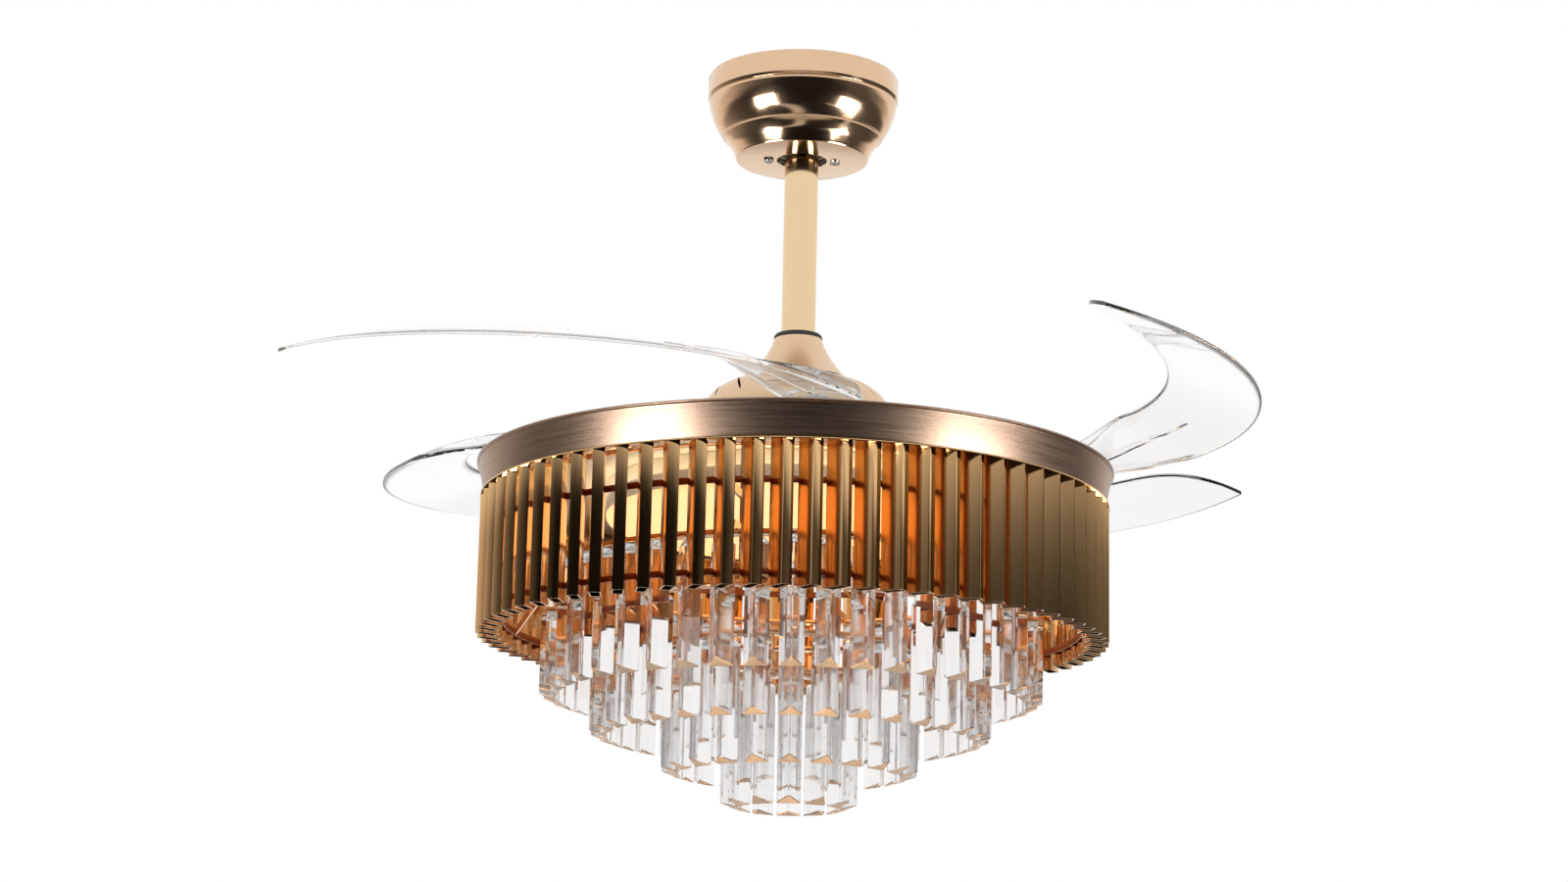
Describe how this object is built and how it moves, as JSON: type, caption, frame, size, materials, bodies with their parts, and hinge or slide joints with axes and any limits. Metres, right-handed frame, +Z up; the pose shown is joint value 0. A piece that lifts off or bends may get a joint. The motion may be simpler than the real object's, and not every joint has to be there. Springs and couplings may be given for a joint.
{
  "type": "chandelier ceiling fan",
  "caption": "Ceiling fan on a downrod with folding clear crescent blades above a round lamp of gold fluted strips and stepped tiers of hanging crystal prisms",
  "frame": {"origin": "centre of the ceiling bracket's top face, where it meets the ceiling", "axes": "+Z up along the downrod when it hangs plumb, -Y towards the viewer of the picture, +X to the right"},
  "size_m": [0.7732, 0.7732, 0.601],
  "materials": {
    "polished_gold": "polished, slightly rosy gold",
    "satin_gold": "satin gold",
    "champagne": "champagne gold paint",
    "brushed_gold": "brushed rose gold",
    "strip_gold": "bright gold plate",
    "steel": "zinc plated",
    "white_metal": "white paint",
    "black_rubber": "matt",
    "nylon": "natural nylon",
    "black_plastic": "moulded",
    "copper": "enamelled copper wire",
    "magnet": "sintered ferrite",
    "clear_acrylic": "clear, polished",
    "crystal": "cut crystal glass",
    "opal": "opal, lit from behind",
    "board": "white solder mask"
  },
  "bodies": {
    "ceiling_mount": {"ceiling_bracket": "steel", "receiver_box": "nylon", "ball_seat": "steel", "canopy": "polished_gold", "canopy_screw_1": "steel", "canopy_screw_2": "steel"},
    "joint_liner": {"seat_liner": "nylon"},
    "hanger": {"hanger_ball": "black_plastic", "ball_pin": "steel", "downrod": "satin_gold", "shaft_coupling": "steel", "coupling_pin": "steel", "set_screw": "steel", "supply_lead": "black_plastic", "bell_grommet": "black_rubber", "bell_cover": "champagne", "stator_shaft": "steel", "upper_bearing": "steel", "lower_bearing": "steel", "stator_core": "steel", "stator_coils": "copper", "trim_ring": "brushed_gold", "light_pan": "white_metal", "shaft_nut": "steel", "fluted_shade": "strip_gold", "crystal_frame": "polished_gold", "crystal_tier_1": "crystal", "crystal_tier_2": "crystal", "crystal_tier_3": "crystal", "crystal_tier_4": "crystal", "led_housing": "white_metal", "led_board": "board", "led_driver": "nylon", "led_diffuser": "opal"},
    "rotor": {"rotor_shell_upper": "champagne", "rotor_shell_lower": "champagne", "magnet_ring": "magnet", "blade_tray": "white_metal", "gear_guide": "nylon", "pivot_bolt_1": "steel", "pivot_bolt_2": "steel", "pivot_bolt_3": "steel", "pivot_bolt_4": "steel", "return_spring_1": "steel", "return_spring_2": "steel", "return_spring_3": "steel", "return_spring_4": "steel"},
    "fold_gear": {"sync_gear": "nylon"},
    "blade_arm_1": {"blade_hub_1": "nylon", "blade_1": "clear_acrylic"},
    "blade_arm_2": {"blade_hub_2": "nylon", "blade_2": "clear_acrylic"},
    "blade_arm_3": {"blade_hub_3": "nylon", "blade_3": "clear_acrylic"},
    "blade_arm_4": {"blade_hub_4": "nylon", "blade_4": "clear_acrylic"}
  },
  "joints": [
    {"name": "swing_front_back", "type": "hinge", "parent": "ceiling_mount", "child": "joint_liner", "pos_m": [0, 0, -0.04491], "axis": [1, 0, 0], "range_deg": [-8, 8]},
    {"name": "swing_side", "type": "hinge", "parent": "joint_liner", "child": "hanger", "pos_m": [0, 0, -0.04491], "axis": [0, 1, 0], "range_deg": [-8, 8]},
    {"name": "fan_spin", "type": "hinge", "parent": "hanger", "child": "rotor", "pos_m": [0, 0, -0.3], "axis": [0, 0, 1], "continuous": true},
    {"name": "gear_turn", "type": "hinge", "parent": "rotor", "child": "fold_gear", "pos_m": [0, 0, -0.333], "axis": [0, 0, 1], "range_deg": [0, 13.45]},
    {"name": "blade_fold_1", "type": "hinge", "parent": "rotor", "child": "blade_arm_1", "pos_m": [0.20938, 0.01611, -0.33], "axis": [0, 0, 1], "range_deg": [-53.8, 0]},
    {"name": "blade_fold_2", "type": "hinge", "parent": "rotor", "child": "blade_arm_2", "pos_m": [-0.01611, 0.20938, -0.33], "axis": [0, 0, 1], "range_deg": [-53.8, 0]},
    {"name": "blade_fold_3", "type": "hinge", "parent": "rotor", "child": "blade_arm_3", "pos_m": [-0.20938, -0.01611, -0.33], "axis": [0, 0, 1], "range_deg": [-53.8, 0]},
    {"name": "blade_fold_4", "type": "hinge", "parent": "rotor", "child": "blade_arm_4", "pos_m": [0.01611, -0.20938, -0.33], "axis": [0, 0, 1], "range_deg": [-53.8, 0]}
  ],
  "couplings": [
    {"joint": "blade_fold_1", "follows": "gear_turn", "ratio": -4},
    {"joint": "blade_fold_2", "follows": "gear_turn", "ratio": -4},
    {"joint": "blade_fold_3", "follows": "gear_turn", "ratio": -4},
    {"joint": "blade_fold_4", "follows": "gear_turn", "ratio": -4}
  ]
}
